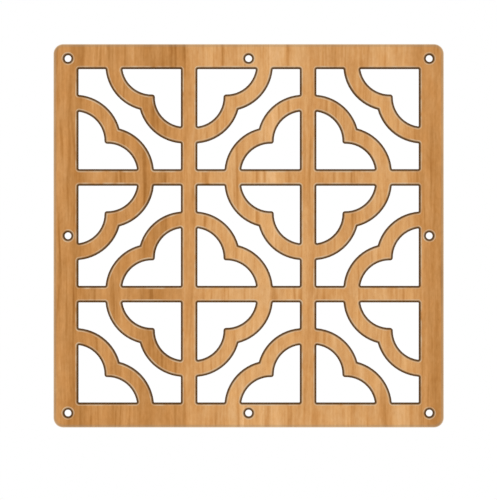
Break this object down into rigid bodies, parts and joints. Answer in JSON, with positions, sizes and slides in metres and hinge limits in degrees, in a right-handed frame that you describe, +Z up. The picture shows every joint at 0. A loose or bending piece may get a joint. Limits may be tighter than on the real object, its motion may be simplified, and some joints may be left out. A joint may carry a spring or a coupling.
{
  "type": "hanging room divider panel",
  "caption": "Flat wooden panel cut through in a fret of quatrefoil rings on a grid of bars, with round holes near its edge to hang it and link it to others as a see-through room divider.",
  "frame": {"origin": "middle of the sheet, half-way through its thickness", "axes": "+X to the right across the front, +Y from the front to the back, +Z up"},
  "size_m": [0.4, 0.006, 0.393],
  "materials": {
    "face_veneer": "satin lacquered warm brown veneer with an upright grain, and edges scorched dark by the cut",
    "crossband": "plain veneer, grain across the panel, seen only at the cut edges",
    "core": "plain veneer, upright grain, seen only at the cut edges"
  },
  "bodies": {
    "root": {"front_face_veneer": "face_veneer", "front_crossband": "crossband", "core_ply": "core", "back_crossband": "crossband", "back_face_veneer": "face_veneer"}
  },
  "joints": []
}
